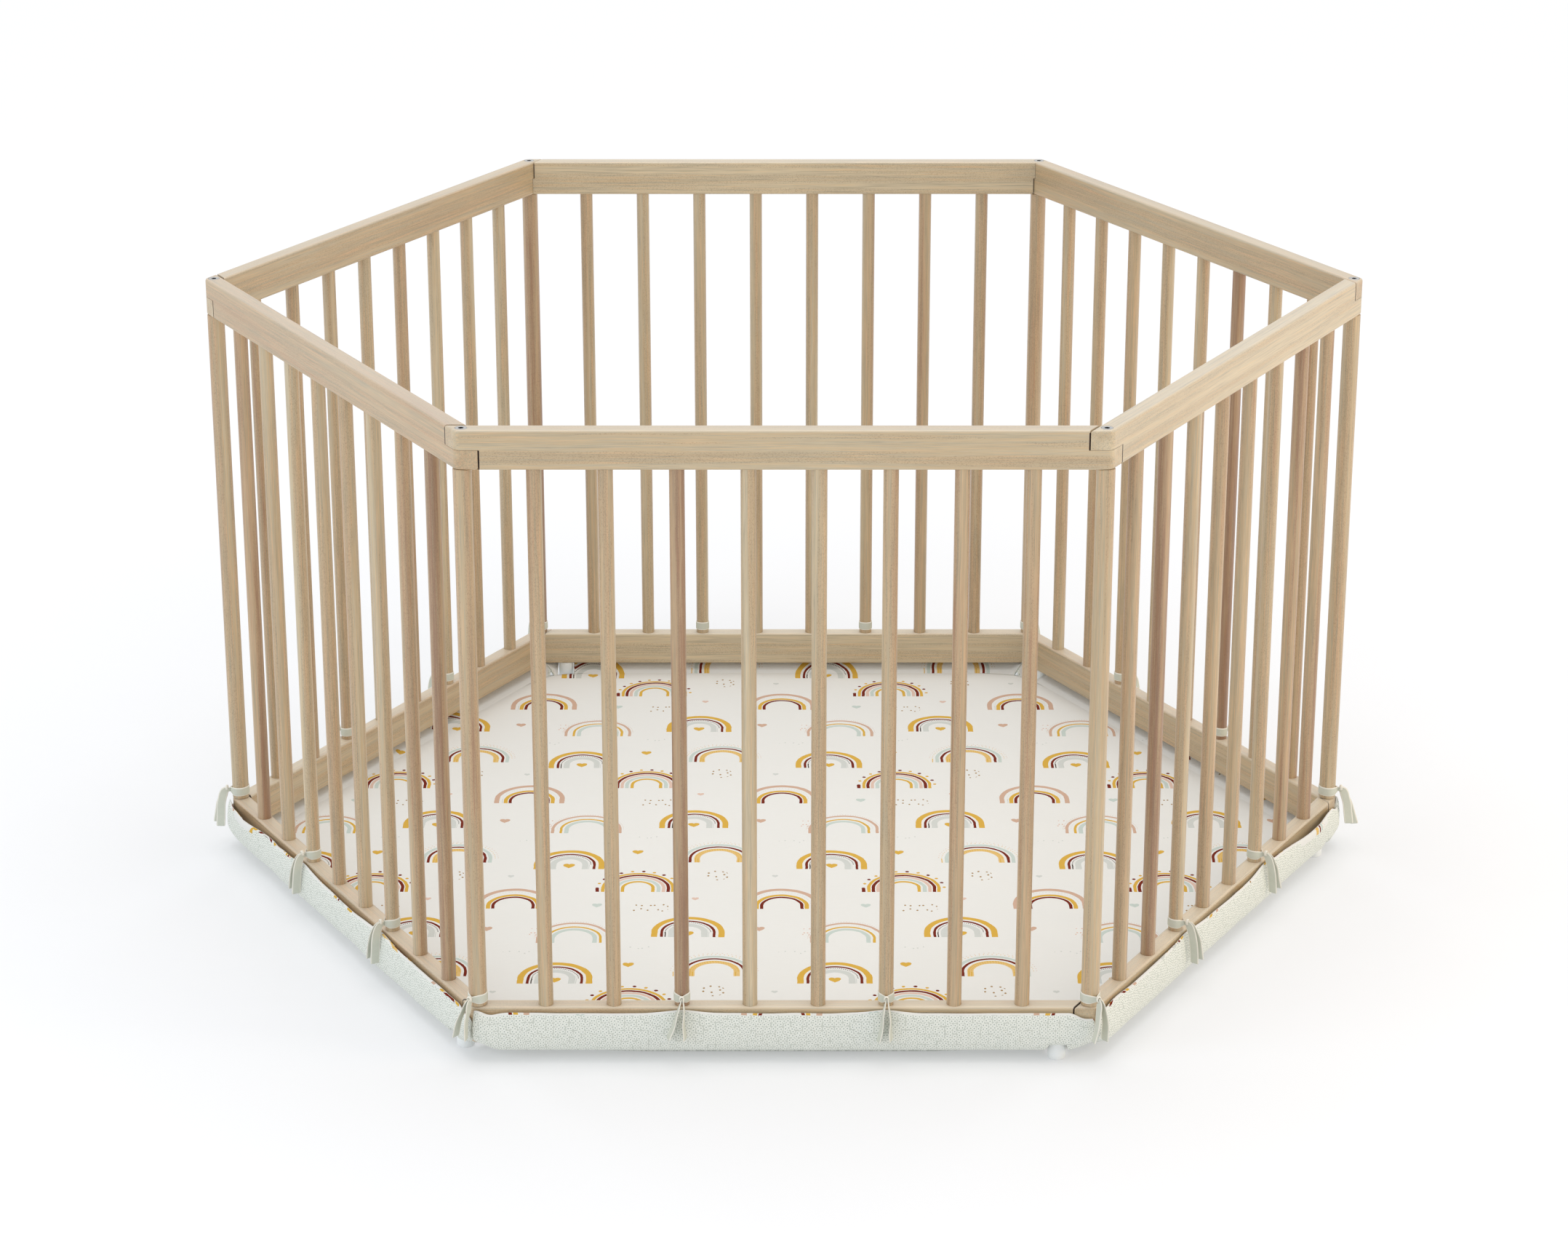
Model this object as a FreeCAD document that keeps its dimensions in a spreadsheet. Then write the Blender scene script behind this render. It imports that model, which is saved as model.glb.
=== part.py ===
import FreeCAD, Part
import os
import Sketcher
from FreeCAD import Placement, Rotation, Vector

# Hexagonal wooden playpen.
# Millimetres, +Z up, origin on the floor under the middle of the hexagon.
# Each side is drawn as the front side, which lies at -Y, and turned about Z to its place.
# Each corner is drawn at -Y too, and turned the same way less half a side's angle.

SIZES = {
    "side_length": 620,
    "frame_height": 651,
    "foot_height": 20,
    "rail_height": 40,
    "rail_thickness": 18.5,
    "rail_edge_radius": 2.5,
    "lap_shoulder_gap": 1.1,
    "lap_face_gap": 0.3,
    "bar_diameter": 15,
    "bar_socket_depth": 14,
    "bar_socket_clearance": 0.1,
    "post_diameter": 18.5,
    "post_bore": 7,
    "post_end_chamfer": 0.8,
    "rod_diameter": 6,
    "rod_end_inset": 7,
    "nut_head_diameter": 11.5,
    "nut_head_thickness": 1.6,
    "nut_head_clearance": 0.3,
    "nut_shank_diameter": 8,
    "nut_length": 24,
    "nut_bore": 6.1,
    "nut_bore_depth": 19,
    "nut_socket_width": 5,
    "nut_socket_depth": 3.5,
    "rod_hole": 8.3,
    "foot_diameter": 18.4,
    "foot_inset": 32.5,
    "foot_edge_radius": 1.2,
    "foot_recess_diameter": 8.6,
    "foot_recess_depth": 12,
    "screw_diameter": 4,
    "screw_hole": 4.1,
    "screw_head_diameter": 7.6,
    "screw_head_height": 2.6,
    "screw_bite": 20,
    "mat_bottom": 2.5,
    "mat_thickness": 7,
    "mat_inset": 30,
    "border_thickness": 6.5,
    "border_rail_gap": 0.5,
    "border_drop": 5,
    "border_turn": 4,
    "border_slit": 0.6,
    "foot_opening_clearance": 1,
    "tape_width": 10.5,
    "tape_thickness": 1.2,
    "tape_bar_gap": 0.3,
    "tape_rail_gap": 3,
    "knot_width": 7,
    "knot_height": 6,
    "tail_width": 9,
    "tail_length": 50,
    "tail_start": 1.5,
    "tail_splay": 6,
    "bar_tie_reach": 18.6,
    "post_tie_reach": 22,
}

SIDES = ("front", "right_front", "right_back", "back", "left_back", "left_front")
# The corner where each side starts, going anticlockwise seen from above.
CORNERS = ("front_left", "front_right", "right", "back_right", "back_left", "left")
BAR_COUNT = 8
TIED_BARS = (3, 6)
SIDE_TURN = 60
CORNER_TURN = 30
CUT_MARGIN = 2

# Formulas used in many places.
APOTHEM = "Sizes.side_length * cos(30 deg)"
HALF_SIDE = "Sizes.side_length / 2"
HALF_THICK = "Sizes.rail_thickness / 2"
LOWER_RAIL_TOP = "(Sizes.foot_height + Sizes.rail_height)"
UPPER_RAIL_BOTTOM = "(Sizes.foot_height + Sizes.frame_height - Sizes.rail_height)"
FRAME_TOP = "(Sizes.foot_height + Sizes.frame_height)"

doc = FreeCAD.newDocument("Playpen")
subparts = []


def make_sheet():
    """Driving dimensions, one named cell each."""
    sheet = doc.addObject("Spreadsheet::Sheet", "Sizes")
    for row, (name, value) in enumerate(SIZES.items(), 1):
        sheet.set(f"A{row}", name)
        sheet.set(f"B{row}", str(value))
        sheet.setAlias(f"B{row}", name)
    doc.recompute()


def bind(thing, **formulas):
    """Tie properties to formulas on the sheet; x, y and z stand for the position."""
    for name, formula in formulas.items():
        path = f"Placement.Base.{name}" if name in ("x", "y", "z") else name
        thing.setExpression(path, formula)


def keep(thing, label, turn):
    """Name a finished sub-part and turn it about Z from the front to its place."""
    thing.Label = label
    thing.Placement = Placement(Vector(), Rotation(Vector(0, 0, 1), turn))
    subparts.append(thing)
    return thing


# ---- primitives and booleans ----

def cylinder(name, diameter, height, **position):
    thing = doc.addObject("Part::Cylinder", name)
    bind(thing, Radius=f"({diameter}) / 2", Height=height, **position)
    return thing


def box(name, length, width, height, **position):
    thing = doc.addObject("Part::Box", name)
    bind(thing, Length=length, Width=width, Height=height, **position)
    return thing


def cut(name, base, tool):
    thing = doc.addObject("Part::Cut", name)
    thing.Base = base
    thing.Tool = tool
    return thing


def fuse(name, pieces):
    thing = doc.addObject("Part::MultiFuse", name)
    thing.Shapes = pieces
    return thing


def group(name, pieces):
    thing = doc.addObject("Part::Compound", name)
    thing.Links = pieces
    return thing


# ---- sketches and features ----

def plane(body, role):
    return next(item for item in body.Origin.OriginFeatures if item.Role == role)


def new_sketch(body, name, role="XY_Plane", level=None):
    sketch = body.newObject("Sketcher::SketchObject", name)
    sketch.AttachmentSupport = [(plane(body, role), "")]
    sketch.MapMode = "FlatFace"
    if level:
        sketch.setExpression("AttachmentOffset.Base.z", level)
    return sketch


def place_point(sketch, element, point, x, y):
    """Hold one point of the sketch at formula coordinates."""
    for kind, formula in (("DistanceX", x), ("DistanceY", y)):
        index = sketch.addConstraint(Sketcher.Constraint(kind, element, point, 1.0))
        sketch.setExpression(f"Constraints[{index}]", formula)


def draw_outline(sketch, corners):
    """Closed outline of straight lines through corners given as formulas."""
    first = sketch.GeometryCount
    count = len(corners)
    rough = Part.makeCircle(100).discretize(Number=count + 1)
    for index in range(count):
        sketch.addGeometry(Part.LineSegment(rough[index], rough[index + 1]), False)
    for index, (x, y) in enumerate(corners):
        following = first + (index + 1) % count
        sketch.addConstraint(Sketcher.Constraint("Coincident", first + index, 2, following, 1))
        place_point(sketch, first + index, 1, x, y)


def draw_circle(sketch, x, y, diameter):
    element = sketch.addGeometry(Part.Circle(Vector(), Vector(0, 0, 1), 5), False)
    place_point(sketch, element, 3, x, y)
    index = sketch.addConstraint(Sketcher.Constraint("Diameter", element, 5.0))
    sketch.setExpression(f"Constraints[{index}]", diameter)


def pad(body, name, sketch, length, both_ways=False):
    feature = body.newObject("PartDesign::Pad", name)
    feature.Profile = sketch
    feature.setExpression("Length", length)
    if both_ways:
        feature.SideType = "Symmetric"
    body.Tip = feature
    doc.recompute()
    return feature


def pocket(body, name, sketch, depth, upwards):
    """Cut away from the sketch, and make sure that material went."""
    before = body.Shape.Volume
    feature = body.newObject("PartDesign::Pocket", name)
    feature.Profile = sketch
    feature.setExpression("Length", depth)
    feature.Reversed = upwards
    body.Tip = feature
    doc.recompute()
    if not body.Shape.Volume < before - 1:
        raise RuntimeError(f"{body.Name} {name} cuts nothing")
    return feature


def fillet(body, name, radius, chosen):
    """Round the edges of the body's tip for which chosen(edge) is true."""
    base = body.Tip
    edges = [f"Edge{n}" for n, edge in enumerate(base.Shape.Edges, 1) if chosen(edge)]
    feature = body.newObject("PartDesign::Fillet", name)
    feature.Base = (base, edges)
    feature.setExpression("Radius", radius)
    body.Tip = feature
    doc.recompute()
    return feature


def is_upright(edge):
    low, high = edge.BoundBox.ZMin, edge.BoundBox.ZMax
    return high - low > 1


# ---- rails ----

def cut_half_lap(body, end, upwards):
    """Leave a half-height tongue at one end, with its shoulder along the next rail's inner face.

    end is -1 at the rail's start and +1 at its finish.
    """
    reach = "(Sizes.rail_thickness / 2 + Sizes.lap_shoulder_gap)"
    half_width = f"(Sizes.rail_thickness / 2 + {CUT_MARGIN})"
    outer_x = f"{end} * ({HALF_SIDE} - ({reach} + {half_width} / 2) / cos(30 deg))"
    inner_x = f"{end} * ({HALF_SIDE} - ({reach} - {half_width} / 2) / cos(30 deg))"
    far_x = f"{end} * ({HALF_SIDE} + 2 * Sizes.rail_thickness)"
    outer_y = f"-({APOTHEM} + {half_width})"
    inner_y = f"-({APOTHEM} - {half_width})"
    level = None if upwards else "Sizes.rail_height"
    sketch = new_sketch(body, "LapOutline", level=level)
    draw_outline(sketch, [(outer_x, outer_y), (inner_x, inner_y), (far_x, inner_y), (far_x, outer_y)])
    pocket(body, "HalfLap", sketch, "(Sizes.rail_height + Sizes.lap_face_gap) / 2", upwards)


def make_rail(side, turn, upper):
    """Rounded beech rail with a top tongue at its start and a bottom tongue at its finish."""
    level = "upper" if upper else "lower"
    body = doc.addObject("PartDesign::Body", f"Rail_{side}_{level}")

    outer_x = f"({HALF_SIDE} + {HALF_THICK} * tan(30 deg))"
    inner_x = f"({HALF_SIDE} + Sizes.rail_thickness * cos(30 deg))"
    outer_y = f"-({APOTHEM} + {HALF_THICK})"
    inner_y = f"-({APOTHEM} - {HALF_THICK})"
    plan = new_sketch(body, "PlanOutline")
    draw_outline(plan, [("-" + outer_x, outer_y), (outer_x, outer_y),
                        (inner_x, inner_y), ("-" + inner_x, inner_y)])
    pad(body, "Blank", plan, "Sizes.rail_height")

    outer_face = body.Shape.BoundBox.YMin
    fillet(body, "RoundEnds", HALF_THICK,
           lambda edge: is_upright(edge) and edge.CenterOfMass.y < outer_face + 1)
    fillet(body, "SoftEdges", "Sizes.rail_edge_radius", lambda edge: not is_upright(edge))

    cut_half_lap(body, -1, upwards=True)
    cut_half_lap(body, 1, upwards=False)

    sockets = new_sketch(body, "SocketCircles", level=None if upper else "Sizes.rail_height")
    for number in range(1, BAR_COUNT + 1):
        x = f"Sizes.side_length * ({number} / {BAR_COUNT + 1} - 0.5)"
        draw_circle(sockets, x, f"-{APOTHEM}", "Sizes.bar_diameter + 2 * Sizes.bar_socket_clearance")
    pocket(body, "BarSockets", sockets, "Sizes.bar_socket_depth", upwards=upper)

    rods = new_sketch(body, "RodCircles")
    for end in (-1, 1):
        draw_circle(rods, f"{end} * {HALF_SIDE}", f"-{APOTHEM}", "Sizes.rod_hole")
    pocket(body, "RodHoles", rods, "Sizes.rail_height", upwards=True)

    # The nut's head sinks into the top of the upper rail's start or the underside of the lower rail's finish.
    end = -1 if upper else 1
    head = new_sketch(body, "HeadCircle", level="Sizes.rail_height" if upper else None)
    draw_circle(head, f"{end} * {HALF_SIDE}", f"-{APOTHEM}",
                "Sizes.nut_head_diameter + 2 * Sizes.nut_head_clearance")
    pocket(body, "HeadRecess", head, "Sizes.nut_head_thickness", upwards=not upper)

    if not upper:
        screw = new_sketch(body, "ScrewCircle")
        draw_circle(screw, f"{HALF_SIDE} - Sizes.foot_inset", f"-{APOTHEM}", "Sizes.screw_hole")
        pocket(body, "ScrewHole", screw, "Sizes.screw_bite + 1", upwards=True)

    keep(body, f"{side}_{'top' if upper else 'bottom'}_rail", turn)
    bind(body, z=UPPER_RAIL_BOTTOM if upper else "Sizes.foot_height")


# ---- bars, posts and the rods that clamp the corners ----

def make_bars(side, turn):
    """The eight round bars of one side, glued into the sockets of both rails."""
    bars = []
    for number in range(1, BAR_COUNT + 1):
        bars.append(cylinder(
            f"Bar_{side}_{number}", "Sizes.bar_diameter",
            f"{UPPER_RAIL_BOTTOM} - {LOWER_RAIL_TOP} + 2 * (Sizes.bar_socket_depth - 0.5)",
            x=f"Sizes.side_length * ({number} / {BAR_COUNT + 1} - 0.5)",
            y=f"-{APOTHEM}",
            z=f"{LOWER_RAIL_TOP} - Sizes.bar_socket_depth + 0.5"))
    keep(group(f"Bars_{side}", bars), f"{side}_bars", turn)


def make_post(corner, turn):
    """Round corner post, drilled from end to end for the rod."""
    body = doc.addObject("PartDesign::Body", f"Post_{corner}")
    ring = new_sketch(body, "PostCircles")
    draw_circle(ring, "0", "-Sizes.side_length", "Sizes.post_diameter")
    draw_circle(ring, "0", "-Sizes.side_length", "Sizes.post_bore")
    pad(body, "Turned", ring, f"{UPPER_RAIL_BOTTOM} - {LOWER_RAIL_TOP}")
    base = body.Tip
    rims = [f"Edge{n}" for n, edge in enumerate(base.Shape.Edges, 1)
            if not is_upright(edge) and edge.Curve.Radius > SIZES["post_bore"]]
    chamfer = body.newObject("PartDesign::Chamfer", "EndChamfers")
    chamfer.Base = (base, rims)
    chamfer.setExpression("Size", "Sizes.post_end_chamfer")
    body.Tip = chamfer
    keep(body, f"{corner}_post", turn)
    bind(body, z=LOWER_RAIL_TOP)


def make_rod(corner):
    """Steel rod from nut to nut, drawn plain where its thread is."""
    return cylinder(f"Rod_{corner}", "Sizes.rod_diameter",
                    "Sizes.frame_height - 2 * Sizes.rod_end_inset",
                    y="-Sizes.side_length", z="Sizes.foot_height + Sizes.rod_end_inset")


def make_nut(corner, upper):
    """Sleeve nut: flat round head with a hexagon socket, and a shank bored for the rod."""
    name = f"{corner}_{'upper' if upper else 'lower'}"
    face = FRAME_TOP if upper else "Sizes.foot_height"
    away = "-1" if upper else "1"

    def along(start, length):
        """Height of the lower end of a stretch that begins start inside the head's face."""
        reach = f"({start} + {length})" if upper else f"({start})"
        return f"{face} + {away} * {reach}"

    def stretch(label, diameter, start, length):
        return cylinder(f"{label}_{name}", diameter, length, y="-Sizes.side_length", z=along(start, length))

    head = stretch("Head", "Sizes.nut_head_diameter", "0", "Sizes.nut_head_thickness")
    shank = stretch("Shank", "Sizes.nut_shank_diameter", "0", "Sizes.nut_length")
    bore = stretch("Bore", "Sizes.nut_bore", "Sizes.nut_length - Sizes.nut_bore_depth", "Sizes.nut_bore_depth")
    socket = doc.addObject("Part::Prism", f"Socket_{name}")
    bind(socket, Circumradius="Sizes.nut_socket_width / 2 / cos(30 deg)", Height="Sizes.nut_socket_depth",
         y="-Sizes.side_length", z=along("0", "Sizes.nut_socket_depth"))
    blank = fuse(f"Blank_{name}", [head, shank])
    return cut(f"Nut_{name}", cut(f"Bored_{name}", blank, bore), socket)


def make_corner_hardware():
    """One rod and two sleeve nuts at each corner, kept as one node of each kind."""
    rods, upper_nuts, lower_nuts = [], [], []
    for number, corner in enumerate(CORNERS):
        pieces = (make_rod(corner), make_nut(corner, True), make_nut(corner, False))
        for piece, collection in zip(pieces, (rods, upper_nuts, lower_nuts)):
            place = Placement(Vector(), Rotation(Vector(0, 0, 1), number * SIDE_TURN))
            turned = group(f"Turned_{piece.Name}", [piece])
            turned.Placement = place
            collection.append(turned)
    keep(group("Rods", rods), "corner_rods", -CORNER_TURN)
    keep(group("UpperNuts", upper_nuts), "top_sleeve_nuts", -CORNER_TURN)
    keep(group("LowerNuts", lower_nuts), "bottom_sleeve_nuts", -CORNER_TURN)


# ---- feet ----

def make_foot(side, turn):
    """Moulded foot under the finish of each lower rail, hollow from below for its screw."""
    body = doc.addObject("PartDesign::Body", f"Foot_{side}")
    x = f"{HALF_SIDE} - Sizes.foot_inset"
    outline = new_sketch(body, "FootCircles")
    draw_circle(outline, x, f"-{APOTHEM}", "Sizes.foot_diameter")
    draw_circle(outline, x, f"-{APOTHEM}", "Sizes.screw_hole")
    pad(body, "Moulding", outline, "Sizes.foot_height")
    recess = new_sketch(body, "RecessCircle")
    draw_circle(recess, x, f"-{APOTHEM}", "Sizes.foot_recess_diameter")
    pocket(body, "Recess", recess, "Sizes.foot_recess_depth", upwards=True)
    fillet(body, "SoftRim", "Sizes.foot_edge_radius",
           lambda edge: not is_upright(edge) and edge.Curve.Radius > SIZES["foot_recess_diameter"])
    keep(body, f"{side}_foot", turn)


def make_foot_screws():
    """One round-headed wood screw for each foot."""
    screws = []
    x = f"{HALF_SIDE} - Sizes.foot_inset"
    for number, side in enumerate(SIDES):
        head = cylinder(f"ScrewHead_{side}", "Sizes.screw_head_diameter", "Sizes.screw_head_height",
                        x=x, y=f"-{APOTHEM}", z="Sizes.foot_recess_depth - Sizes.screw_head_height")
        shank = cylinder(f"ScrewShank_{side}", "Sizes.screw_diameter",
                         "Sizes.foot_height - Sizes.foot_recess_depth + Sizes.screw_bite",
                         x=x, y=f"-{APOTHEM}", z="Sizes.foot_recess_depth")
        screw = fuse(f"Screw_{side}", [head, shank])
        screw.Placement = Placement(Vector(), Rotation(Vector(0, 0, 1), number * SIDE_TURN))
        screws.append(screw)
    keep(group("FootScrews", screws), "foot_screws", 0)


# ---- mat ----

def make_mat_base():
    """Flat quilted floor of the mat, inside the turned-up border."""
    slab = doc.addObject("Part::Prism", "MatBase")
    keep(slab, "mat_base", 0)
    bind(slab, Circumradius=f"({APOTHEM} - Sizes.mat_inset) / cos(30 deg)",
         Height="Sizes.mat_thickness", z="Sizes.mat_bottom")


def make_mat_border(side, turn):
    """The mat's edge along one side: under the lower rail, then up its outer face."""
    body = doc.addObject("PartDesign::Body", f"Border_{side}")
    mat_top = "(Sizes.mat_bottom + Sizes.mat_thickness)"
    seam = f"-({APOTHEM} - Sizes.mat_inset)"
    rail_inner = f"-({APOTHEM} - {HALF_THICK})"
    rail_outer = f"-({APOTHEM} + {HALF_THICK})"
    face_inner = f"-({APOTHEM} + {HALF_THICK} + Sizes.border_rail_gap)"
    face_outer = f"-({APOTHEM} + {HALF_THICK} + Sizes.border_rail_gap + Sizes.border_thickness)"
    turn_in = f"{face_outer} + Sizes.border_turn"
    under_rail = "Sizes.foot_height - Sizes.border_rail_gap"
    edge_top = f"{LOWER_RAIL_TOP} - Sizes.border_drop"
    lowest = f"{under_rail} - Sizes.mat_thickness"
    section = new_sketch(body, "BorderSection", role="YZ_Plane")
    draw_outline(section, [
        (seam, "Sizes.mat_bottom"), (seam, mat_top), (rail_inner, mat_top), (rail_outer, under_rail),
        (face_inner, under_rail), (face_inner, edge_top), (face_outer, edge_top),
        (face_outer, f"{lowest} + Sizes.border_turn"), (turn_in, lowest), (rail_inner, "Sizes.mat_bottom")])
    pad(body, "BorderStrip", section, "Sizes.side_length + 4 * Sizes.rail_thickness", both_ways=True)

    # Mitre both ends, so that neighbouring borders meet with a narrow slit at the corner.
    near_y = f"-({APOTHEM} - 2 * Sizes.mat_inset)"
    far_y = f"-({APOTHEM} + 2 * Sizes.mat_inset)"
    mitres = new_sketch(body, "MitreOutlines")
    for end in (-1, 1):
        near_x = f"{end} * (({APOTHEM} - 2 * Sizes.mat_inset) * tan(30 deg) - Sizes.border_slit)"
        far_x = f"{end} * (({APOTHEM} + 2 * Sizes.mat_inset) * tan(30 deg) - Sizes.border_slit)"
        waste_x = f"{end} * Sizes.side_length"
        draw_outline(mitres, [(near_x, near_y), (far_x, far_y), (waste_x, far_y), (waste_x, near_y)])
    pocket(body, "Mitres", mitres, FRAME_TOP, upwards=True)

    # The foot comes through the fold, so the opening runs out to the border's outer face.
    foot_x = f"{HALF_SIDE} - Sizes.foot_inset"
    opening = "(Sizes.foot_diameter / 2 + Sizes.foot_opening_clearance)"
    eye = new_sketch(body, "FootCircle")
    draw_circle(eye, foot_x, f"-{APOTHEM}", f"2 * {opening}")
    pocket(body, "FootHole", eye, "Sizes.foot_height", upwards=True)
    mouth = new_sketch(body, "FootMouth")
    left, right = f"{foot_x} - {opening}", f"{foot_x} + {opening}"
    draw_outline(mouth, [(left, f"-{APOTHEM}"), (right, f"-{APOTHEM}"), (right, far_y), (left, far_y)])
    pocket(body, "FootNotch", mouth, "Sizes.foot_height", upwards=True)
    keep(body, f"{side}_mat_border", turn)


def make_tie(label, turn, x, y, held_diameter, reach):
    """Fabric tape round a bar or post, knotted outside it, with two tails over the border."""
    loop_bottom = f"{LOWER_RAIL_TOP} + Sizes.tape_rail_gap"
    inner = f"{held_diameter} + 2 * Sizes.tape_bar_gap"
    outer = f"{inner} + 2 * Sizes.tape_thickness"
    loop = cut(f"Loop_{label}",
               cylinder(f"LoopOuter_{label}", outer, "Sizes.tape_width", x=x, y=y, z=loop_bottom),
               cylinder(f"LoopInner_{label}", inner, "Sizes.tape_width", x=x, y=y, z=loop_bottom))
    knot = box(f"Knot_{label}", "Sizes.knot_width", f"{reach} - ({inner}) / 2 - 0.1", "Sizes.knot_height",
               x=f"{x} - Sizes.knot_width / 2", y=f"{y} - {reach}", z=loop_bottom)
    tails = []
    for hand in (-1, 1):
        lean = "(Sizes.tail_splay * 1 deg)"
        foot_x = f"{x} + {hand} * (Sizes.tail_start + Sizes.tail_length * sin({lean}))"
        tail = box(f"Tail_{label}_{'left' if hand < 0 else 'right'}",
                   "Sizes.tail_width", "Sizes.tape_thickness", "Sizes.tail_length",
                   x=f"{foot_x} - Sizes.tail_width / 2 * cos({lean})", y=f"{y} - {reach}",
                   z=f"{loop_bottom} + Sizes.knot_height - Sizes.tail_length")
        tail.Placement.Rotation = Rotation(Vector(0, 1, 0), -hand * SIZES["tail_splay"])
        tails.append(tail)
    keep(fuse(f"Tie_{label}", [loop, knot] + tails), label, turn)


make_sheet()
for number, side in enumerate(SIDES):
    turn = number * SIDE_TURN
    make_rail(side, turn, upper=True)
    make_rail(side, turn, upper=False)
    make_bars(side, turn)
    make_foot(side, turn)
    make_mat_border(side, turn)
    for place, bar in zip(("start", "finish"), TIED_BARS):
        bar_x = f"Sizes.side_length * ({bar} / {BAR_COUNT + 1} - 0.5)"
        make_tie(f"{side}_{place}_tie", turn, bar_x, f"-{APOTHEM}",
                 "Sizes.bar_diameter", "Sizes.bar_tie_reach")
for number, corner in enumerate(CORNERS):
    turn = number * SIDE_TURN - CORNER_TURN
    make_post(corner, turn)
    make_tie(f"{corner}_corner_tie", turn, "0", "-Sizes.side_length",
             "Sizes.post_diameter", "Sizes.post_tie_reach")
make_corner_hardware()
make_foot_screws()
make_mat_base()
doc.recompute()

for thing in doc.Objects:
    if "Invalid" in thing.State or "Error" in thing.State:
        raise RuntimeError(f"{thing.Name} ({thing.Label}) failed: {thing.State}")
for thing in subparts:
    if thing.Shape.isNull() or not thing.Shape.isValid() or thing.Shape.Volume <= 0:
        raise RuntimeError(f"{thing.Label} has no valid solid")

os.makedirs("parts", exist_ok=True)
for thing in subparts:
    thing.Shape.exportStep(f"parts/{thing.Label}.step")
    print(f"{thing.Label}: {len(thing.Shape.Solids)} solids, {thing.Shape.Volume / 1000:.1f} cm3")
print(f"{len(subparts)} sub-parts")
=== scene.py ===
import math

import bmesh
import bpy
from mathutils import Matrix, Vector, noise


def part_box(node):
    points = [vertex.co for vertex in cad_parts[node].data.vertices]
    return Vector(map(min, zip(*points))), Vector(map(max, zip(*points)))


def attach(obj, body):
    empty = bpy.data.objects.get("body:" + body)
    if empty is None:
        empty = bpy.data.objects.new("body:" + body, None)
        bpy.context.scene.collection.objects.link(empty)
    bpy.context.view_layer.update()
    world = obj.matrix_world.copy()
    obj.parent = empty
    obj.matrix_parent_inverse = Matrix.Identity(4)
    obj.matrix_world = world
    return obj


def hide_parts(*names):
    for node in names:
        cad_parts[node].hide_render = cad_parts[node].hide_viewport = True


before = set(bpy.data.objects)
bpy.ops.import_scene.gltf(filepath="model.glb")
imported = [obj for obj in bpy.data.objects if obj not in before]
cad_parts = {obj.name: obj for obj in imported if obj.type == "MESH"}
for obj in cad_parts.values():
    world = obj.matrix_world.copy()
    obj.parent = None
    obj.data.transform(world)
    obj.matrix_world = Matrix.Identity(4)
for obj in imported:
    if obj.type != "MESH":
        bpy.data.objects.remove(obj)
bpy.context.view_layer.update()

# Hexagonal playpen: six slatted beech sides on small feet, with a printed mat tied to the bars.
# Metres. Each side is drawn as the front one, which lies at -Y, and turned about Z to its place.

MM = 0.001
SIDES = ("front", "right_front", "right_back", "back", "left_back", "left_front")
CORNERS = ("front_left", "front_right", "right", "back_right", "back_left", "left")
SIDE_TURN = math.radians(60)
CORNER_TURN = math.radians(30)
TAN_30 = math.tan(CORNER_TURN)

# Driving sizes, read from the frame.
rail_low, rail_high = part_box("front_bottom_rail")
RAIL_OUTER = -rail_low.y
RAIL_INNER = -rail_high.y
RAIL_MIDDLE = (RAIL_OUTER + RAIL_INNER) / 2
RAIL_UNDERSIDE = rail_low.z
SIDE_LENGTH = 2 * RAIL_MIDDLE * TAN_30
POST_RADIUS_OUT = RAIL_MIDDLE / math.cos(CORNER_TURN)
mat_low, mat_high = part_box("mat_base")
MAT_UNDERSIDE, MAT_TOP = mat_low.z, mat_high.z
BARS_PER_SIDE = 8
BAR_STEP = SIDE_LENGTH / (BARS_PER_SIDE + 1)
TIED_BARS = {"start": 3, "finish": 6}
foot_low, foot_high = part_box("front_foot")
FOOT_X = (foot_low.x + foot_high.x) / 2
FOOT_RADIUS = (foot_high.x - foot_low.x) / 2


# ---- material nodes ----

class Value:
    """An output in a material; arithmetic on it adds Math nodes."""

    def __init__(self, finish, socket):
        self.finish = finish
        self.socket = socket

    def math(self, operation, *others):
        return self.finish.node("ShaderNodeMath", {"operation": operation}, self, *others)

    def __add__(self, other):
        return self.math("ADD", other)

    def __mul__(self, other):
        return self.math("MULTIPLY", other)

    __radd__ = __add__
    __rmul__ = __mul__

    def __sub__(self, other):
        return self.math("SUBTRACT", other)

    def __rsub__(self, other):
        return self.finish.node("ShaderNodeMath", {"operation": "SUBTRACT"}, other, self)

    def __truediv__(self, other):
        return self.math("DIVIDE", other)

    def __mod__(self, other):
        return self.math("FLOORED_MODULO", other)

    def __abs__(self):
        return self.math("ABSOLUTE")

    def __lt__(self, other):
        return self.math("LESS_THAN", other)

    def __gt__(self, other):
        return self.math("GREATER_THAN", other)


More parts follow.
